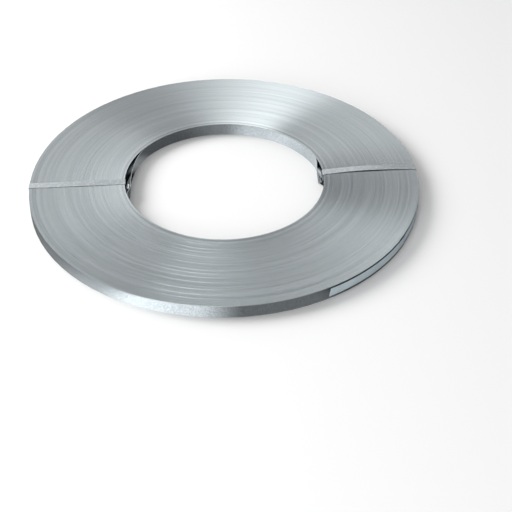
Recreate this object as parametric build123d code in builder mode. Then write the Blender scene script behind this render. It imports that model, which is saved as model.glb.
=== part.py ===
from build123d import *
from math import cos, degrees, radians, sin, sqrt
import os

# A coil of steel strapping that lies flat. One long strip is wound turn on turn round an open
# bore, two thin steel ties are looped round the ring, and a tape holds the end of the outer turn.
# Millimetres. The winding axis is Z, and the undersides of the ties lie on Z = 0.

# The strip and its winding
strip_width = 13.0
strip_gauge = 0.5
turn_count = 192
bore_diameter = 200.0

# Bands of turns slipped a little along the axis in winding, so both ends of the coil are stepped.
# Each pair is the share of the winding where a band ends, counted from the bore outwards, and the
# slip of the band as a share of slip_reach.
slip_reach = 0.3
band_shares = (
    (0.07, 0.35),
    (0.095, 1.0),
    (0.115, 0.1),
    (0.135, 0.8),
    (0.33, 0.3),
    (0.35, -0.5),
    (0.40, 0.6),
    (0.655, 0.2),
    (0.68, -0.5),
    (0.77, 0.25),
    (0.85, -0.35),
    (0.90, 0.9),
    (0.93, -0.3),
    (1.0, 0.3),
)

# The ties. Each leg in the bore bows off the wall, and so does each run over the top face.
tie_width = 9.0
tie_gauge = 0.45
tie_clearance = 0.05
corner_round = 0.3
leg_round_share = 0.4
run_crest_share = 0.6
run_round_share = 5.0
left_angle = 182.4
left_run_bow = 0.15
left_leg_bow = 3.8
left_leg_crest_share = 0.48
right_angle = 3.8
right_run_bow = 1.2
right_leg_bow = 2.1
right_leg_crest_share = 0.63

# The tape on the outer turn
tape_width = 8.6
tape_length = 165.0
tape_gauge = 0.15
tape_glue = 0.05
tape_margin = 2.3
tape_angle = -62.0

# Sizes that follow
bore_radius = bore_diameter / 2
outer_radius = bore_radius + turn_count * strip_gauge
slips = [slip_reach * slip_share for end_share, slip_share in band_shares]
coil_base = tie_gauge + tie_clearance - min(slips)
low_face = coil_base + min(slips)
high_face = coil_base + strip_width + max(slips)


def radial_plane(angle):
    """The upright plane through the winding axis, its x pointing outwards at the angle."""
    outward = (cos(radians(angle)), sin(radians(angle)), 0)
    sideways = (sin(radians(angle)), -cos(radians(angle)), 0)
    return Plane(origin=(0, 0, 0), x_dir=outward, z_dir=sideways)


def tie_band(angle, run_bow, leg_bow, leg_crest_share):
    """A flat band looped round the ring's section, through the bore."""
    back = outer_radius + tie_clearance
    front = sqrt(bore_radius**2 - (tie_width / 2) ** 2) - tie_clearance
    low = low_face - tie_clearance
    high = high_face + tie_clearance
    run_crest = front + run_crest_share * (back - front)
    leg_crest = high - leg_crest_share * (high - low)
    inner_corners = (
        (back, low),
        (back, high),
        (run_crest, high + run_bow),
        (front, high),
        (front - leg_bow, leg_crest),
        (front, low),
    )
    inner_rounds = (
        corner_round,
        corner_round,
        run_round_share * (back - front),
        corner_round,
        leg_round_share * (high - low),
        corner_round,
    )
    with BuildPart() as band:
        with BuildSketch(radial_plane(angle)):
            with BuildLine() as inner_loop:
                FilletPolyline(*inner_corners, radius=inner_rounds, close=True)
            make_face()
            offset(amount=tie_gauge)
            make_face(inner_loop.edges(), mode=Mode.SUBTRACT)
        extrude(amount=tie_width / 2, both=True)
    return band


# The wound strip: each band of turns is a rectangle of the section that is turned round the axis
with BuildPart() as strip_coil:
    with BuildSketch(Plane.XZ):
        band_start = bore_radius
        for (end_share, slip_share), slip in zip(band_shares, slips):
            band_end = bore_radius + round(end_share * turn_count) * strip_gauge
            with Locations((band_start, coil_base + slip)):
                Rectangle(band_end - band_start, strip_width, align=Align.MIN)
            band_start = band_end
    revolve(axis=Axis.Z)

tie_left = tie_band(left_angle, left_run_bow, left_leg_bow, left_leg_crest_share)
tie_right = tie_band(right_angle, right_run_bow, right_leg_bow, right_leg_crest_share)

# The tape lies on the outer turn and follows the slip of that turn's band
with BuildPart() as end_tape:
    with BuildSketch(radial_plane(tape_angle)):
        with Locations((outer_radius + tape_glue, coil_base + slips[-1] + tape_margin)):
            Rectangle(tape_gauge, tape_width, align=Align.MIN)
    revolve(axis=Axis.Z, revolution_arc=degrees(tape_length / outer_radius))

os.makedirs("parts", exist_ok=True)
strip_coil.part.label = "strip_coil"
export_step(strip_coil.part, "parts/strip_coil.step")
tie_left.part.label = "tie_left"
export_step(tie_left.part, "parts/tie_left.step")
tie_right.part.label = "tie_right"
export_step(tie_right.part, "parts/tie_right.step")
end_tape.part.label = "end_tape"
export_step(end_tape.part, "parts/end_tape.step")
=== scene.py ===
import math

import bmesh
import bpy
import numpy as np
from mathutils import Matrix, Vector


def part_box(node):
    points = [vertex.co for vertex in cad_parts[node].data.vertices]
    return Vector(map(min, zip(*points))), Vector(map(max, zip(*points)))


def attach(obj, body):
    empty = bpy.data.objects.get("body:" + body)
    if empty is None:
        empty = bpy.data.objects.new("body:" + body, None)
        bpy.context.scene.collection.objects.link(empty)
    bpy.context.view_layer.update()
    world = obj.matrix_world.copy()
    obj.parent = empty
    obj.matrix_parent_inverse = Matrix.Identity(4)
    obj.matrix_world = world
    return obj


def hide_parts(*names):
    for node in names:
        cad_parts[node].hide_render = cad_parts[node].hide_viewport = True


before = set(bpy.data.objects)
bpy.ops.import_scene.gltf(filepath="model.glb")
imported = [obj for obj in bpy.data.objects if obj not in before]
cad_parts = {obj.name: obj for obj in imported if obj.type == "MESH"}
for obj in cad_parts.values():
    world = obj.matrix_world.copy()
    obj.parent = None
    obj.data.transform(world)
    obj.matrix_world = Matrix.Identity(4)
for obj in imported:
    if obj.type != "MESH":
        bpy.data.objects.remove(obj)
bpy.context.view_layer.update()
mm = 0.001  # metres in a millimetre
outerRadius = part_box("strip_coil")[1].x
print("frame loaded, coil radius", round(outerRadius, 4))


# Nodes

class Wire:
    # A socket in a node tree. Maths on wires adds Math nodes, and node() adds any other node.
    def __init__(self, tree, plug=None):
        self.tree = tree
        self.plug = plug

    def node(self, kind, settings=None, sockets=None, out=0):
        made = self.tree.nodes.new(kind)
        for name, value in (settings or {}).items():
            setattr(made, name, value)
        for name, value in (sockets or {}).items():
            if isinstance(value, Wire):
                self.tree.links.new(value.plug, made.inputs[name])
            else:
                made.inputs[name].default_value = value
        return Wire(self.tree, made.outputs[out] if made.outputs else None)

    def maths(self, operation, *values):
        return self.node("ShaderNodeMath", {"operation": operation}, dict(enumerate(values)))

    def __add__(self, other):
        return self.maths("ADD", self, other)

    def __mul__(self, other):
        return self.maths("MULTIPLY", self, other)

    def __truediv__(self, other):
        return self.maths("DIVIDE", self, other)

    def __rsub__(self, other):
        return self.maths("SUBTRACT", other, self)

    __radd__ = __add__

    def step(self, low, high):  # 0 at low, 1 at high, smooth between; low may be the larger
        settings = {"interpolation_type": "SMOOTHSTEP"}
        return self.node("ShaderNodeMapRange", settings, {"Value": self, "From Min": low, "From Max": high})

    def mix(self, first, second):  # one colour where the wire is 0, the other where it is 1
        sockets = {0: self, 6: (*first, 1), 7: (*second, 1)}
        return self.node("ShaderNodeMix", {"data_type": "RGBA"}, sockets, 2)

    def tint(self, colour):  # this colour times another
        settings = {"data_type": "RGBA", "blend_type": "MULTIPLY"}
        return self.node("ShaderNodeMix", settings, {0: 1.0, 6: self, 7: colour}, 2)

    def dot(self, direction):
        sockets = {0: self, 1: tuple(direction)}
        return self.node("ShaderNodeVectorMath", {"operation": "DOT_PRODUCT"}, sockets, "Value")

    def noise(self, scale, detail=2.0, roughness=0.5):
        sockets = {"Vector": self, "Scale": scale, "Detail": detail, "Roughness": roughness}
        return self.node("ShaderNodeTexNoise", {}, sockets, "Fac")

    def vector(self, x, y, z):
        return self.node("ShaderNodeCombineXYZ", {}, {"X": x, "Y": y, "Z": z})


def newMaterial(name):
    material = bpy.data.materials.new(name)
    material.use_nodes = True
    material.node_tree.nodes.clear()
    return material, Wire(material.node_tree)


def finishMaterial(start, sockets):
    shader = start.node("ShaderNodeBsdfPrincipled", {}, sockets)
    start.node("ShaderNodeOutputMaterial", {}, {"Surface": shader})


def objectPlace(start):
    return start.node("ShaderNodeTexCoord", {}, {}, "Object")


def roundTheAxis(place):
    # a place's distance from the axis, the cosine and sine of its angle, and its height
    x, y, z = (place.node("ShaderNodeSeparateXYZ", {}, {0: place}, axis) for axis in "XYZ")
    radius = x.maths("SQRT", x * x + y * y)
    return {"radius": radius, "cosine": x / radius, "sine": y / radius, "height": z}


# Meshes

def meshPiece(name, points, quads, materials, ends=(), faceMaterials=None, sharp=None):
    # points is (count, 3) and quads is (count, 4); ends are faces with more corners
    sizes = np.r_[np.full(len(quads), 4), [len(end) for end in ends]].astype(np.int32)
    corners = np.concatenate([quads.ravel(), *ends]).astype(np.int32)
    mesh = bpy.data.meshes.new(name)
    mesh.vertices.add(len(points))
    mesh.vertices.foreach_set("co", points.astype(np.float32).ravel())
    mesh.loops.add(len(corners))
    mesh.loops.foreach_set("vertex_index", corners)
    mesh.polygons.add(len(sizes))
    mesh.polygons.foreach_set("loop_start", np.r_[0, np.cumsum(sizes)[:-1]].astype(np.int32))
    if faceMaterials is not None:
        mesh.polygons.foreach_set("material_index", faceMaterials.astype(np.int32))
    mesh.update(calc_edges=True)
    mesh.validate()
    turned = bmesh.new()
    turned.from_mesh(mesh)
    bmesh.ops.recalc_face_normals(turned, faces=turned.faces)
    turned.to_mesh(mesh)
    turned.free()
    mesh.polygons.foreach_set("use_smooth", np.ones(len(mesh.polygons), bool))
    if sharp is not None:
        pairs = np.empty(len(mesh.edges) * 2, np.int32)
        mesh.edges.foreach_get("vertices", pairs)
        mesh.edges.foreach_set("use_edge_sharp", sharp(pairs.reshape(-1, 2)))
    for material in materials:
        mesh.materials.append(material)
    piece = bpy.data.objects.new(name, mesh)
    bpy.context.scene.collection.objects.link(piece)
    return piece


def gridQuads(index, wrapRows):
    # quads between neighbouring rows and columns of a grid of point numbers
    low = index if wrapRows else index[:-1]
    high = np.roll(index, -1, 0) if wrapRows else index[1:]
    return np.stack([low[:, :-1], low[:, 1:], high[:, 1:], high[:, :-1]], -1).reshape(-1, 4)


def bandPiece(name, points, materials, closed, faceMaterials=None):
    # a section of points carried along a path, as (path, section, 3); an open band gets two end faces
    index = np.arange(points[..., 0].size).reshape(points.shape[:2])
    quads = gridQuads(np.concatenate([index, index[:, :1]], 1), closed)
    ends = () if closed else (index[0], index[-1])
    return meshPiece(name, points.reshape(-1, 3), quads, materials, ends, faceMaterials)


flatSection = {
    "cornerSteps": (0, 30, 60, 90),  # degrees round each corner
    "flatFrom": 3,  # rounds from the edge to the first point on the flat
}


def bandSection(width, gauge, edgeRound):
    # a flat section with round edges, as (across, through) pairs
    turnAngle = np.radians(flatSection["cornerSteps"])
    arc = np.stack([np.cos(turnAngle), np.sin(turnAngle)], 1) * edgeRound
    corner = np.array([width / 2 - edgeRound, gauge / 2 - edgeRound])
    flat = np.array([[width / 2 - flatSection["flatFrom"] * edgeRound, gauge / 2]])
    quarter = np.concatenate([corner + arc, flat])
    half = np.concatenate([quarter, quarter[::-1] * (-1, 1)])
    return np.concatenate([half, half * (-1, -1)])


def polar(radius, angle, height):
    return np.stack([radius * np.cos(angle), radius * np.sin(angle), height + 0 * radius], -1)


# Wound strip

winding = {
    "turns": 191,  # whole turns between the two ends of the strip
    "gauge": 0.5 * mm,
    "width": 13 * mm,
    "endAngle": -30,  # degrees round the axis, where the outer end lies and where each turn is counted from
    "sides": 84,
    "lift": 0.65 * mm,  # lower edge of an unslipped turn, over the floor
    "slipReach": 0.06 * mm,
    # share of the winding where each slipped band ends, from the bore outwards, and its share of slipReach
    "bandShares": (
        (0.07, 0.35), (0.095, 1.0), (0.115, 0.1), (0.135, 0.8), (0.33, 0.3), (0.35, -0.5), (0.40, 0.6),
        (0.655, 0.2), (0.68, -0.5), (0.77, 0.25), (0.85, -0.35), (0.90, 0.9), (0.93, -0.3), (1.0, 0.3),
    ),
    "slipRamp": 0.2,  # turns over which the strip slides from one band to the next
    "jitter": 0.014 * mm,
    "jitterEvery": 0.7,  # turns
    "lean": 9,  # degrees that the edges of the turns lean towards the bore
    "leanSpreads": ((0.37, 0.55), (1.3, 0.2), (5.1, 0.1)),  # turns between knots, degrees
    # pairs of turns whose outer corners are worn to a bevel at the front: degrees of lean, turns from one
    # pair to the next, and the degrees round the axis where the wear starts, is full, lessens and ends
    "wornLean": (-16, -14.5),
    "wornEvery": (9, 21),
    "wornAngles": (212, 230, 264, 282),
    "wornDrop": 0.85,  # a band that stands this share of slipReach over the next has its last turn worn
    "wornSeed": 27,
    "landShares": (0.05, 0.6, 0.95),  # of the gauge: inner corner, bevel and outer corner
    "crestShare": 0.5,  # of the gauge: the lowest point of a turn
    "valley": 0.03 * mm,
    "edgeRound": 0.16 * mm,
    "roundSteps": (75, 45, 15),  # degrees
    "seed": 7,
}
boreRadius = outerRadius - (winding["turns"] + 1) * winding["gauge"]

# The innermost turn runs inside the ties, so it springs off the next turn where they pass. It leaves,
# reaches its full reach, starts back and lies against the next turn again at these angles, and its free
# end stays sprung off. Its upper edge springs further than its lower edge.
loose = {
    "endAngle": 3.2,  # degrees round the axis, where the free end lies
    "springs": (
        {"angles": (-40, -30, 4, 21), "reach": 5.8 * mm, "lowShare": 0.65},
        {"angles": (140, 177, 187, 195), "reach": 5.8 * mm, "lowShare": 0.7},
    ),
    "gap": 0.02 * mm,  # between this turn and the next
    "steps": 240,
}


def along(turn, everyTurns, reach, seed):
    # a random value along the strip, straight between knots that stand everyTurns apart
    knots = np.arange(-2, winding["turns"] + 4, everyTurns)
    return np.interp(turn, knots, np.random.default_rng(seed).normal(0, reach, len(knots)))


def wornLean(turn):
    # how far the outer corner leans outwards where it is worn: some pairs of turns, and the last turn
    # of a band that stands over the next, over one stretch of the round
    random = np.random.default_rng(winding["wornSeed"])
    turns = winding["turns"]
    leans = np.zeros(turns + 2)
    pairs = np.cumsum(random.uniform(*winding["wornEvery"], turns)).astype(int)
    pairs = pairs[pairs < turns]
    leans[pairs] = leans[pairs + 1] = random.uniform(*winding["wornLean"], len(pairs))
    slips = [slip for end, slip in winding["bandShares"]]
    for (end, slip), nextSlip in zip(winding["bandShares"], slips[1:]):
        if slip - nextSlip > winding["wornDrop"]:
            leans[int(end * turns) - 1] = np.mean(winding["wornLean"])
    whole, part = np.divmod(turn, 1)
    worn = np.interp(winding["endAngle"] + 360 * part, winding["wornAngles"], (0, 1, 1, 0))
    return leans[whole.astype(int)] * worn


def edgeHeight(turn):
    # height of the strip's lower edge: the slip of its band, a short ramp between bands, and jitter
    ends = np.array([end for end, slip in winding["bandShares"]]) * winding["turns"]
    slips = np.array([slip for end, slip in winding["bandShares"]]) * winding["slipReach"]
    ramp = winding["slipRamp"]
    places = np.stack([np.r_[-2, ends[:-1] + ramp], np.r_[ends[:-1] - ramp, ends[-1] + 2]], 1)
    slip = np.interp(turn, places.ravel(), np.repeat(slips, 2))
    jitter = along(turn, winding["jitterEvery"], winding["jitter"], winding["seed"])
    return winding["lift"] + slip + jitter


def woundStrip(materials):
    # All turns but the innermost. The coil's section is a closed row of points: up the bore, out over
    # the turns, down the outer wall and back under the turns. It is carried once round the axis while
    # it grows by one gauge, so each turn runs into the next where the round closes, and the strip's
    # two ends are left open there and capped.
    turns, gauge, width = winding["turns"] - 1, winding["gauge"], winding["width"]
    sides = winding["sides"]
    share = np.arange(sides + 1) / sides
    angle = math.radians(winding["endAngle"]) + share * 2 * math.pi
    turn = np.arange(1, turns + 1)[:, None] + share
    low = edgeHeight(turn)
    high = low + width

    # top of a turn: a valley, then a flat land that leans towards the bore, then the bevel
    inner, bevel, outer = winding["landShares"]
    lean = np.full(turn.shape, float(winding["lean"]))
    for number, (every, spread) in enumerate(winding["leanSpreads"]):
        lean += along(turn, every, spread, winding["seed"] + 1 + number)
    tilt = np.tan(np.radians(lean)) * (bevel - inner) / 2 * gauge
    corner = high + tilt + np.tan(np.radians(lean + wornLean(turn))) * (outer - bevel) * gauge
    valley = np.minimum(high, edgeHeight(turn - 1) + width) - winding["valley"]
    topHeight = np.stack([valley, high - tilt, high + tilt, corner], 1).reshape(-1, sides + 1)[1:]
    topShare = np.array([0, inner, bevel, outer])[:, None]
    topRadius = (boreRadius + gauge * (turn[:, None] + topShare)).reshape(-1, sides + 1)[1:]

    # underside of a turn, from the outside in: a crest, then a valley
    hollow = np.maximum(low, edgeHeight(turn - 1)) + winding["valley"]
    lowHeight = np.stack([low, hollow], 1)[::-1].reshape(-1, sides + 1)[:-1]
    lowShare = np.array([winding["crestShare"], 0])[:, None]
    lowRadius = (boreRadius + gauge * (turn[:, None] + lowShare))[::-1].reshape(-1, sides + 1)[:-1]

    # walls, with the strip's edges rounded over at both ends
    bend = np.radians(winding["roundSteps"])[:, None]
    inset = winding["edgeRound"] * (1 - np.sin(bend[::-1]))
    fall = winding["edgeRound"] * (1 - np.cos(bend[::-1]))
    bore, outside = boreRadius + gauge * turn[0], boreRadius + gauge * (turn[-1] + 1)
    boreRadii = np.concatenate([bore + inset, bore + inset[::-1]])
    boreHeights = np.concatenate([low[0] + fall, high[0] - fall[::-1]])
    outerRadii = np.concatenate([outside - inset, outside - inset[::-1]])
    outerHeights = np.concatenate([high[-1] - fall, low[-1] + fall[::-1]])

    parts = boreRadii, topRadius, outerRadii, lowRadius
    height = np.concatenate([boreHeights, topHeight, outerHeights, lowHeight])
    points = polar(np.concatenate(parts), angle, height)
    topStart, outerStart, lowStart, rows = np.cumsum([len(part) for part in parts])

    # the last column is the first column one turn on, where there is one
    topStep, lowStep = len(topShare), len(lowShare)  # points of one turn
    row = np.arange(rows)
    onward = np.full(rows, -1)
    onward[topStart:outerStart - topStep] = row[topStart + topStep:outerStart]
    onward[lowStart + lowStep:] = row[lowStart:-lowStep]
    index = np.arange(rows * sides).reshape(rows, sides)
    fresh = rows * sides + np.cumsum(onward < 0) - 1
    last = np.where(onward < 0, fresh, index[onward, 0])
    grid = np.concatenate([index, last[:, None]], 1)
    allPoints = np.concatenate([points[:, :-1].reshape(-1, 3), points[onward < 0, -1]])

    first = grid[:, 0]
    outerEnd = np.r_[first[outerStart - 1], last[outerStart - topStep:lowStart + lowStep], first[lowStart]]
    outerEnd = np.r_[outerEnd, first[outerStart:lowStart][::-1]]
    innerEnd = np.r_[first[-lowStep - 1:], first[:topStart + topStep + 1], last[:topStart][::-1]]
    freshCount = np.count_nonzero(onward < 0)
    column = np.r_[np.tile(np.arange(sides), rows), np.full(freshCount, sides)]
    topRow = (row >= topStart) & (row < outerStart)
    isTop = np.r_[np.repeat(topRow, sides), np.zeros(freshCount, bool)]

    def turnEdges(pairs):
        return (column[pairs[:, 0]] != column[pairs[:, 1]]) & isTop[pairs].all(1)

    onFace = (row >= topStart - 1) & (row < outerStart) | (row >= lowStart - 1)
    faceMaterials = np.r_[np.repeat(np.where(onFace, 0, 1), sides), 1, 1]
    quads, ends = gridQuads(grid, True), (outerEnd, innerEnd)
    return meshPiece("wound_strip", allPoints, quads, materials, ends, faceMaterials, turnEdges)


def springReach(angle, rise):
    # how far the inner turn stands off: a smooth rise and fall over each place, more at its upper edge
    reach = np.zeros(np.broadcast_shapes(angle.shape, rise.shape))
    for place in loose["springs"]:
        part = np.interp(np.degrees(angle), place["angles"], (0, 1, 1, 0))
        share = place["lowShare"] + (1 - place["lowShare"]) * rise
        reach += place["reach"] * part * part * (3 - 2 * part) * share
    return reach


def innerTurn(materials):
    # The innermost turn: the strip's flat section carried round, from its free end to where the next
    # turn goes on.
    gauge, width = winding["gauge"], winding["width"]
    section = bandSection(width, gauge - loose["gap"], winding["edgeRound"])
    across, through = section[:, 0], section[:, 1]
    start = (loose["endAngle"] - winding["endAngle"]) / 360
    share = np.linspace(start, 1, loose["steps"])[:, None]
    angle = math.radians(winding["endAngle"]) + share * 2 * math.pi
    radius = boreRadius + gauge * (share + 0.5) - springReach(angle, across / width + 0.5) + through
    points = polar(radius, angle, edgeHeight(share) + width / 2 + across)
    middle = (across + np.roll(across, -1)) / 2
    onEdge = np.abs(middle) > width / 2 - winding["edgeRound"]
    faceMaterials = np.r_[np.tile(np.where(onEdge, 0, 1), len(share) - 1), 1, 1]
    return bandPiece("inner_turn", points, materials, False, faceMaterials)


def outsideRadius(angle):
    # radius of the outer turn, which drops by one gauge past the strip's end
    past = np.mod(angle - math.radians(winding["endAngle"]), 2 * math.pi) / (2 * math.pi)
    return outerRadius - winding["gauge"] * (1 - past)


# Ties

tieShape = {
    "width": 8.6 * mm,
    "gauge": 0.3 * mm,
    "clearance": 0.02 * mm,
    "cornerRound": 0.3 * mm,
    "foldRounds": (0.4 * mm, 0.3 * mm),
    "runCrestShare": 0.5,
    "runRoundShare": 2.5,
    "edgeRound": 0.1 * mm,
    "bendSteps": 9,
    "runSteps": 24,
    "waver": 0.15 * mm,
    "waverEvery": 9 * mm,
}
# The run over the top face bows up, sways sideways and twists. The leg in the bore has a fold that
# stands off the wall: its two corners are shares of the leg from the top, and distances from the wall.
# The colours are those of the zinc's crystals, times a painted light and shade factor towards the outer end:
# the right tie's outer half is painted darker, as shade where its bow turns from the light, and the left
# tie's a little lighter, as painted light.
ties = {
    "tie_left": {
        "angle": 182.4,
        "runBow": 0.1 * mm, "sway": 0.3 * mm, "twist": 0.3,
        "gap": 0, "bend": 0.3 * mm, "leg": ((0.44, 2.0 * mm), (0.48, 4.1 * mm)),
        "pale": (0.82, 0.87, 0.89), "dark": (0.52, 0.57, 0.59), "outerPaintedLight": 1.1,
    },
    "tie_right": {
        "angle": 3.7,
        "runBow": 0.5 * mm, "sway": 2.6 * mm, "twist": 1.5,
        "gap": 0.6 * mm, "bend": 1.2 * mm, "leg": ((0.69, 1.1 * mm), (0.76, 3.1 * mm)),
        "pale": (0.76, 0.81, 0.83), "dark": (0.49, 0.53, 0.55), "outerPaintedLight": 0.68,
    },
}


def roundedLoop(corners, radii, bendSteps, runSteps):
    # Each corner of a closed outline becomes an arc that touches its two runs, and each run is
    # divided evenly between the arcs.
    before, after = np.roll(corners, 1, 0), np.roll(corners, -1, 0)
    toBefore = (before - corners) / np.linalg.norm(before - corners, axis=1)[:, None]
    toAfter = (after - corners) / np.linalg.norm(after - corners, axis=1)[:, None]
    half = np.arccos((toBefore * toAfter).sum(1)) / 2
    middle = (toBefore + toAfter) / np.linalg.norm(toBefore + toAfter, axis=1)[:, None]
    centre = corners + middle * (radii / np.sin(half))[:, None]
    start = corners + toBefore * (radii / np.tan(half))[:, None] - centre
    end = corners + toAfter * (radii / np.tan(half))[:, None] - centre
    sweep = (math.pi - 2 * half)[:, None, None]
    part = np.linspace(0, 1, bendSteps)[None, :, None]
    bend = np.sin((1 - part) * sweep) * start[:, None] + np.sin(part * sweep) * end[:, None]
    bend = bend / np.sin(sweep) + centre[:, None]
    runPart = np.linspace(0, 1, runSteps + 1)[1:-1][None, :, None]
    run = bend[:, -1:] * (1 - runPart) + np.roll(bend[:, :1], -1, 0) * runPart
    return np.concatenate([bend, run], 1).reshape(-1, 2)


def tieBand(name, place, material):
    # The band's section is carried along a rounded loop in the upright plane at its angle, and it
    # sways and twists a little on the way.
    gauge = tieShape["gauge"]
    reach = tieShape["clearance"] + gauge / 2
    back = outerRadius + reach
    front = math.sqrt((boreRadius + winding["gauge"]) ** 2 - (tieShape["width"] / 2) ** 2) - reach
    low, high = gauge / 2, winding["lift"] + winding["slipReach"] + winding["width"] + reach
    runCrest = front + tieShape["runCrestShare"] * (back - front)
    fold = [(front - off, high - part * (high - low)) for part, off in place["leg"]]
    corners = np.array([
        (back, low), (back, high), (runCrest, high + place["runBow"]),
        (front - place["gap"], high), *fold, (front, low),
    ])
    tight = tieShape["cornerRound"] + gauge / 2
    bend, runRound = place["bend"] + gauge / 2, tieShape["runRoundShare"] * (back - front)
    radii = np.array([tight, tight, runRound, bend, *tieShape["foldRounds"], tight])
    path = roundedLoop(corners, radii, tieShape["bendSteps"], tieShape["runSteps"])
    tangent = np.roll(path, -1, 0) - np.roll(path, 1, 0)
    tangent /= np.linalg.norm(tangent, axis=1)[:, None]
    normal = np.stack([tangent[:, 1], -tangent[:, 0]], 1)
    section = bandSection(tieShape["width"], gauge, tieShape["edgeRound"])
    across, through = section[:, 0], section[:, 1]
    outPart = np.clip((path[:, 0] - front) / (back - front), 0, 1)
    topRun = (path[:, 1] > high - gauge) * np.sin(np.pi * outPart)
    sway = topRun * (place["sway"] + tieShape["waver"] * np.sin(path[:, 0] / tieShape["waverEvery"]))
    lift = through - np.tan(np.radians(place["twist"])) * topRun[:, None] * across
    flat = path[:, None] + normal[:, None] * lift[..., None]
    side = sway[:, None] + across
    angle = math.radians(place["angle"])
    outward = np.array([math.cos(angle), math.sin(angle), 0])
    sideways = np.array([-math.sin(angle), math.cos(angle), 0])
    upward = np.array([0, 0, 1])
    points = flat[..., :1] * outward + side[..., None] * sideways + flat[..., 1:] * upward
    return bandPiece(name + "_band", points, [material], True)


# Tape

tape = {
    "width": 8.6 * mm,
    "length": 165 * mm,
    "gauge": 0.15 * mm,
    "startAngle": -62,
    "slant": 1.6 * mm,  # the cut runs back this far from the lower edge to the upper
    "margin": 2.3 * mm,  # bare strip under the tape
    "lap": 3 * mm,  # length over which the tape settles past the strip's end
    "lapSteps": 9,
    "steps": 120,
    "edgeRound": 0.06 * mm,
}


def endTape(material):
    # A thin flat section carried round the outer turn, with its left cut slanted.
    section = bandSection(tape["width"], tape["gauge"], tape["edgeRound"])
    across, through = section[:, 0], section[:, 1]
    lastTurn = np.array([winding["turns"] - 0.5])
    base = float(edgeHeight(lastTurn)[0]) + tape["margin"] + tape["width"] / 2
    start = math.radians(tape["startAngle"])
    share = np.linspace(0, 1, tape["steps"])[:, None]
    slant = tape["slant"] / outerRadius * (across / tape["width"] + 0.5)
    angle = start + slant + share * (tape["length"] / outerRadius - slant)
    lap = tape["lap"] / outerRadius * np.linspace(-1, 1, tape["lapSteps"])
    under = np.mean([np.maximum(outsideRadius(angle + shift), outsideRadius(angle)) for shift in lap], 0)
    points = polar(under + tape["gauge"] / 2 + through, angle, base + across)
    return bandPiece("end_tape_film", points, [material], False)


# Finishes. A range is where a noise or a tone goes from 0 to 1, and a share is its part of the tone.

bumpDepth = 0.03 * mm


def bumpFrom(height, strength):
    return height.node("ShaderNodeBump", {}, {"Strength": strength, "Distance": bumpDepth, "Height": height})


def streaks(at, across, look):
    # noise that runs slowly round the axis and fast across the turns or the strip
    x, y = at["cosine"] * look["round"], at["sine"] * look["round"]
    return across.vector(x, y, across * look["across"]).noise(1.0, look["detail"])


edgeFinish = {
    "fine": {"round": 1.3, "across": 1100, "detail": 3.0, "share": 0.4},
    "broad": {"round": 0.7, "across": 400, "detail": 2.0, "share": 0.6},
    # a paler rim at the bore, a painted highlight on its edge, then a darker ring, painted shade in the
    # groove behind it, and a paler ring, in metres from the axis
    "paintedRimRings": (
        {"rise": (0.08, 0.09), "fall": (0.1024, 0.1012), "tone": 0.35},
        {"rise": (0.1016, 0.1028), "fall": (0.1044, 0.1032), "tone": -0.35},
        {"rise": (0.1040, 0.1052), "fall": (0.1070, 0.1058), "tone": 0.2},
    ),
    "range": (0.0, 1.0), "dark": (0.48, 0.53, 0.55), "pale": (0.675, 0.725, 0.745),
    "roughness": 0.17, "roughnessMore": 0.05,
    "anisotropy": 1.0, "turned": 0.25,  # a quarter turn lays the sheen across the turns
}


def turnEdgeSteel():
    # slit edges of the turns: bright satin steel, each turn a little different all the way round
    look = edgeFinish
    material, start = newMaterial("turn edge steel")
    at = roundTheAxis(objectPlace(start))
    radius = at["radius"]
    fine = streaks(at, radius, look["fine"])
    broad = streaks(at, radius, look["broad"])
    tone = fine * look["fine"]["share"] + broad * look["broad"]["share"]
    # rings near the bore painted into the colour: a painted highlight on the rim and painted shade in the
    # groove behind it
    for ring in look["paintedRimRings"]:
        tone = tone + radius.step(*ring["rise"]) * radius.step(*ring["fall"]) * ring["tone"]
    finishMaterial(start, {
        "Base Color": tone.step(*look["range"]).mix(look["dark"], look["pale"]),
        "Metallic": 1.0,
        "Roughness": look["roughness"] + fine * look["roughnessMore"],
        "Anisotropic": look["anisotropy"],
        "Anisotropic Rotation": look["turned"],
    })
    return material


faceFinish = {
    "mottle": {"scale": 750, "detail": 3.0, "roughness": 0.6, "range": (0.3, 0.7), "share": 0.55},
    "cloud": {"scale": 160, "share": 0.25},
    "lines": {"round": 6, "across": 5000, "detail": 2.0, "share": 0.2},
    "range": (0.2, 0.8), "dark": (0.46, 0.51, 0.54), "pale": (0.59, 0.65, 0.68),
    "roughness": 0.15, "roughnessMore": 0.12,
    "bump": 0.3,
}


def stripFaceSteel():
    # rolled and galvanised face of the strip: fine mottle, and faint lines along the strip
    look, spots = faceFinish, faceFinish["mottle"]
    material, start = newMaterial("strip face steel")
    place = objectPlace(start)
    at = roundTheAxis(place)
    mottle = place.noise(spots["scale"], spots["detail"], spots["roughness"]).step(*spots["range"])
    cloud = place.noise(look["cloud"]["scale"])
    lines = streaks(at, at["height"], look["lines"])
    tone = mottle * spots["share"] + cloud * look["cloud"]["share"] + lines * look["lines"]["share"]
    finishMaterial(start, {
        "Base Color": tone.step(*look["range"]).mix(look["dark"], look["pale"]),
        "Metallic": 1.0,
        "Roughness": look["roughness"] + mottle * look["roughnessMore"],
        "Normal": bumpFrom(mottle + lines, look["bump"]),
    })
    return material


tieFinish = {
    "crystals": {"scale": 430, "range": (0.15, 0.5), "share": 0.65},
    "grain": {"scale": 1300, "range": (0.3, 0.7), "share": 0.35},
    # metres from the axis over which the painted light and shade of the tie's outer end sets in
    "paintedLightRadii": (0.125, 0.185),  # metres from the axis, over which outerPaintedLight sets in
    "roughness": 0.36, "roughnessMore": 0.12,
    "rubbed": 0.4, "rubbedRadii": (0.099, 0.101),  # share of the roughness that is left in the bore
    "bump": 0.2,
}


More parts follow.
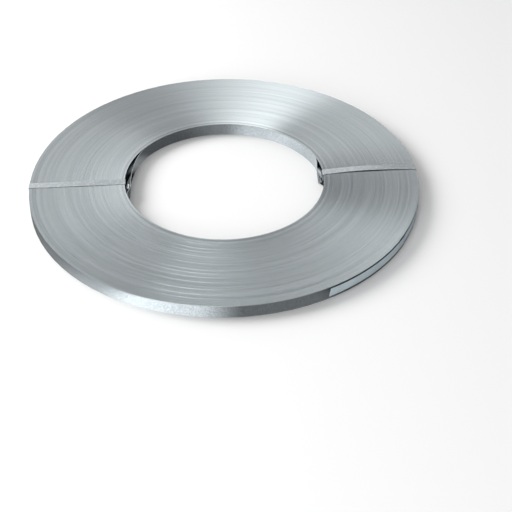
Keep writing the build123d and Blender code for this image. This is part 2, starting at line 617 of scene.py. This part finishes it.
def tieSteel(name, tie):
    # zinc-coated band with a pale spangle, painted light or painted shade towards its outer end, and rubbed
    # in the bore
    look, crystals, grain = tieFinish, tieFinish["crystals"], tieFinish["grain"]
    material, start = newMaterial(name + " steel")
    place = objectPlace(start)
    radius = roundTheAxis(place)["radius"]
    sockets = {"Vector": place, "Scale": crystals["scale"]}
    cells = start.node("ShaderNodeTexVoronoi", {"feature": "F1"}, sockets, "Distance")
    specks = place.noise(grain["scale"]).step(*grain["range"])
    spangle = cells.step(*crystals["range"]) * crystals["share"] + specks * grain["share"]
    # painted light and shade: the colour is scaled towards the outer end, darker on the right tie where its
    # bow turns from the light, lighter on the left
    paintedLight = radius.step(*look["paintedLightRadii"]).mix((1, 1, 1), [tie["outerPaintedLight"]] * 3)
    smooth = look["rubbed"] + radius.step(*look["rubbedRadii"]) * (1 - look["rubbed"])
    finishMaterial(start, {
        "Base Color": spangle.mix(tie["pale"], tie["dark"]).tint(paintedLight),
        "Metallic": 1.0,
        "Roughness": (look["roughness"] + spangle * look["roughnessMore"]) * smooth,
        "Normal": bumpFrom(spangle, look["bump"]),
    })
    return material


filmFinish = {
    "weave": {"scale": 1400, "share": 0.6},
    "cloud": {"scale": 120, "share": 0.4},
    "range": (0.3, 0.7), "dark": (0.385, 0.46, 0.50), "pale": (0.50, 0.585, 0.63),
    "roughness": 0.6, "roughnessMore": 0.15,
    "specular": 0.2,
    "bump": 0.2,
}


def tapeFilm():
    # pale blue-grey film with a fine woven backing showing through
    look = filmFinish
    material, start = newMaterial("tape film")
    place = objectPlace(start)
    weave = place.noise(look["weave"]["scale"])
    cloud = place.noise(look["cloud"]["scale"])
    tone = weave * look["weave"]["share"] + cloud * look["cloud"]["share"]
    finishMaterial(start, {
        "Base Color": tone.step(*look["range"]).mix(look["dark"], look["pale"]),
        "Roughness": look["roughness"] + weave * look["roughnessMore"],
        "Specular IOR Level": look["specular"],
        "Normal": bumpFrom(weave, look["bump"]),
    })
    return material


stripSteel = [turnEdgeSteel(), stripFaceSteel()]
strip = woundStrip(stripSteel)
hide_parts("strip_coil")
for piece in (strip, innerTurn(stripSteel)):
    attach(piece, "root")
print("wound strip", len(strip.data.polygons), "faces")

for node, tie in ties.items():
    band = tieBand(node, tie, tieSteel(node, tie))
    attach(band, "root")
    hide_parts(node)
film = endTape(tapeFilm())
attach(film, "root")
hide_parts("end_tape")
print("ties and tape made")


# Stage

eye = {
    "elevation": 35.191, "distance": 5.8202,  # degrees, coil radii
    "roll": 1.0267, "pan": 1.5237, "tilt": 4.0148,  # degrees
    "focal": 1124.09, "frameSide": 512,  # pixels
    "sensor": 36,  # millimetres
    "nearest": 0.01,
}


def makeCamera():
    elevation, roll, pan, tilt = (math.radians(eye[name]) for name in ("elevation", "roll", "pan", "tilt"))
    back = Vector((0, -math.cos(elevation), math.sin(elevation)))
    right = Vector((1, 0, 0))
    basis = Matrix.Rotation(pan, 3, "Y") @ Matrix((right, back.cross(right), back))
    basis = Matrix.Rotation(roll, 3, "Z") @ Matrix.Rotation(tilt, 3, "X") @ basis
    topCentre = Vector((0, 0, winding["lift"] + winding["width"] + winding["slipReach"]))
    place = topCentre + back * eye["distance"] * outerRadius
    camera = bpy.data.objects.new("camera", bpy.data.cameras.new("camera"))
    camera.matrix_world = Matrix.Translation(place) @ basis.transposed().to_4x4()
    camera.data.sensor_width = eye["sensor"]
    camera.data.lens = eye["focal"] / eye["frameSide"] * eye["sensor"]
    camera.data.clip_start = eye["nearest"]
    bpy.context.scene.collection.objects.link(camera)
    bpy.context.scene.camera = camera


sky = {
    "ambient": 0.53,
    "backdrop": 1.0,  # what the camera sees past the floor
    "least": 0.04,
    # large soft panel that fans upwards from a point behind the coil, in degrees
    "fan": {
        "elevation": 39, "from": (-31.5, -19.5), "to": (15, -17), "reach": (8.5, 21, 27, 48),
        "light": 3.2,
    },
    # soft round panels and dark flags, in degrees
    "spots": (
        {"azimuth": 7, "elevation": 34.5, "size": 32, "light": 1.0},
        {"azimuth": -4.5, "elevation": 36.5, "size": 11, "light": -1.5},
        {"azimuth": -5, "elevation": 44.5, "size": 5, "light": -0.4},
        {"azimuth": 13.5, "elevation": 54.5, "size": 7, "light": -1.4},
        {"azimuth": -2, "elevation": 13.5, "size": 6, "light": -1.5},
        {"azimuth": -1, "elevation": 25, "size": 7, "light": 0.4},
        {"azimuth": -39, "elevation": 18, "size": 44, "light": 0.75},
        {"azimuth": -20, "elevation": 25, "size": 24, "light": 0.7},
        {"azimuth": -35, "elevation": 42, "size": 24, "light": 0.7},
        {"azimuth": 20, "elevation": 25, "size": 24, "light": 0.4},
        {"azimuth": 60, "elevation": 25, "size": 24, "light": 0.5},
        {"azimuth": -10, "elevation": 29, "size": 14.5, "light": -1.5},
        {"azimuth": -165, "elevation": 25, "size": 45, "light": 0.6},
        {"azimuth": 110, "elevation": 15, "size": 80, "light": -0.25},
    ),
}


def towards(azimuth, elevation):  # azimuth from the back (+Y) to the right (+X)
    azimuth, elevation = math.radians(azimuth), math.radians(elevation)
    level = math.cos(elevation)
    return Vector((math.sin(azimuth) * level, math.cos(azimuth) * level, math.sin(elevation)))


def makeSky():
    world = bpy.data.worlds.new("studio")
    bpy.context.scene.world = world
    world.use_nodes = True
    world.node_tree.nodes.clear()
    start = Wire(world.node_tree)
    look = start.node("ShaderNodeTexCoord", {}, {}, "Generated")
    sideways = look.dot((1, 0, 0))

    fan = {name: np.radians(value) for name, value in sky["fan"].items()}
    foot, rise = towards(0, sky["fan"]["elevation"]), towards(180, 90 - sky["fan"]["elevation"])
    turn = sideways.maths("ARCTAN2", sideways, look.dot(rise))
    away = sideways.maths("ARCCOSINE", look.dot(foot))
    shape = turn.step(*fan["from"]) * turn.step(*fan["to"])
    shape = shape * away.step(*fan["reach"][:2]) * away.step(*fan["reach"][:1:-1])
    light = shape * sky["fan"]["light"] + sky["ambient"]
    for spot in sky["spots"]:
        away = sideways.maths("ARCCOSINE", look.dot(towards(spot["azimuth"], spot["elevation"])))
        light = light + away.step(math.radians(spot["size"]), 0) * spot["light"]
    light = light.maths("MAXIMUM", light, sky["least"])
    seen = start.node("ShaderNodeLightPath", {}, {}, "Is Camera Ray")
    light = seen * sky["backdrop"] + (1 - seen) * light
    background = start.node("ShaderNodeBackground", {}, {"Strength": light})
    start.node("ShaderNodeOutputWorld", {}, {"Surface": background})


floorShape = {
    "size": 8,
    "colour": (0.86, 0.86, 0.86),
    # pale and dark cards laid flat round the coil and in its bore, in degrees, which only the steel mirrors
    "split": (0.14, 0.15),  # radii between the bore and the outside
    "outside": {"base": 0.22, "cards": (
        {"turn": -107, "half": 15, "soft": 7, "light": 0.9},
        {"turn": -120, "half": 15, "soft": 14, "light": 0.66},
        {"turn": -146, "half": 12, "soft": 10, "light": 0.12},
        {"turn": 180, "half": 7, "soft": 4, "light": 0.15},
        {"turn": -36, "half": 24, "soft": 5, "light": -0.16},
        {"turn": 70, "half": 30, "soft": 12, "light": 0.9},
    )},
    "bore": {"base": 0.125, "cards": (
        {"turn": 46, "half": 37, "soft": 8, "light": 0.8},
        {"turn": 57, "half": 10, "soft": 14, "light": 0.3},
        {"turn": 90, "half": 9, "soft": 18, "light": 0.27},
        {"turn": 151, "half": 7, "soft": 5, "light": 0.2},
        {"turn": 171, "half": 9, "soft": 3, "light": -0.12},
        {"turn": -125, "half": 30, "soft": 12, "light": 0.8},
    )},
}


def cardLight(ring, at):
    # the cards of one ring, each lit within half its width of its middle, with a soft edge
    level = ring["base"]
    for card in ring["cards"]:
        turn, half, soft = (math.radians(card[name]) for name in ("turn", "half", "soft"))
        nearness = at["cosine"] * math.cos(turn) + at["sine"] * math.sin(turn)
        away = nearness.maths("ARCCOSINE", nearness)
        level = level + away.step(half + soft, half - soft) * card["light"]
    return level


def makeFloor():
    half = floorShape["size"] / 2
    points = np.array([(-half, -half, 0), (half, -half, 0), (half, half, 0), (-half, half, 0)])
    material, start = newMaterial("pale floor")
    at = roundTheAxis(objectPlace(start))
    bore, outside = (cardLight(floorShape[name], at) for name in ("bore", "outside"))
    past = at["radius"].step(*floorShape["split"])
    cards = start.node("ShaderNodeEmission", {}, {"Strength": bore * (1 - past) + outside * past})
    plain = start.node("ShaderNodeBsdfDiffuse", {}, {"Color": (*floorShape["colour"], 1)})
    mirrored = start.node("ShaderNodeLightPath", {}, {}, "Is Glossy Ray")
    both = start.node("ShaderNodeMixShader", {}, {0: mirrored, 1: plain, 2: cards})
    start.node("ShaderNodeOutputMaterial", {}, {"Surface": both})
    floor = meshPiece("floor", points, np.array([[0, 1, 2, 3]]), [material])


lamps = {  # they light the floor and the tape, and the steel doesn't mirror them
    "key": {"at": (-1.5, 0.35, 1.1), "size": 1.2, "power": 34},
    "fill": {"at": (-0.6, -1.6, 0.5), "size": 0.8, "power": 12},
}


def makeLamps():
    for name, place in lamps.items():
        lamp = bpy.data.lights.new(name, "AREA")
        lamp.shape = "DISK"
        lamp.size = place["size"]
        lamp.energy = place["power"]
        holder = bpy.data.objects.new(name, lamp)
        at = Vector(place["at"])
        holder.matrix_world = Matrix.Translation(at) @ at.to_track_quat("Z", "Y").to_matrix().to_4x4()
        holder.visible_glossy = False
        bpy.context.scene.collection.objects.link(holder)


makeCamera()
makeFloor()
makeSky()
makeLamps()
bpy.context.scene.view_settings.view_transform = "Standard"
print("stage set")
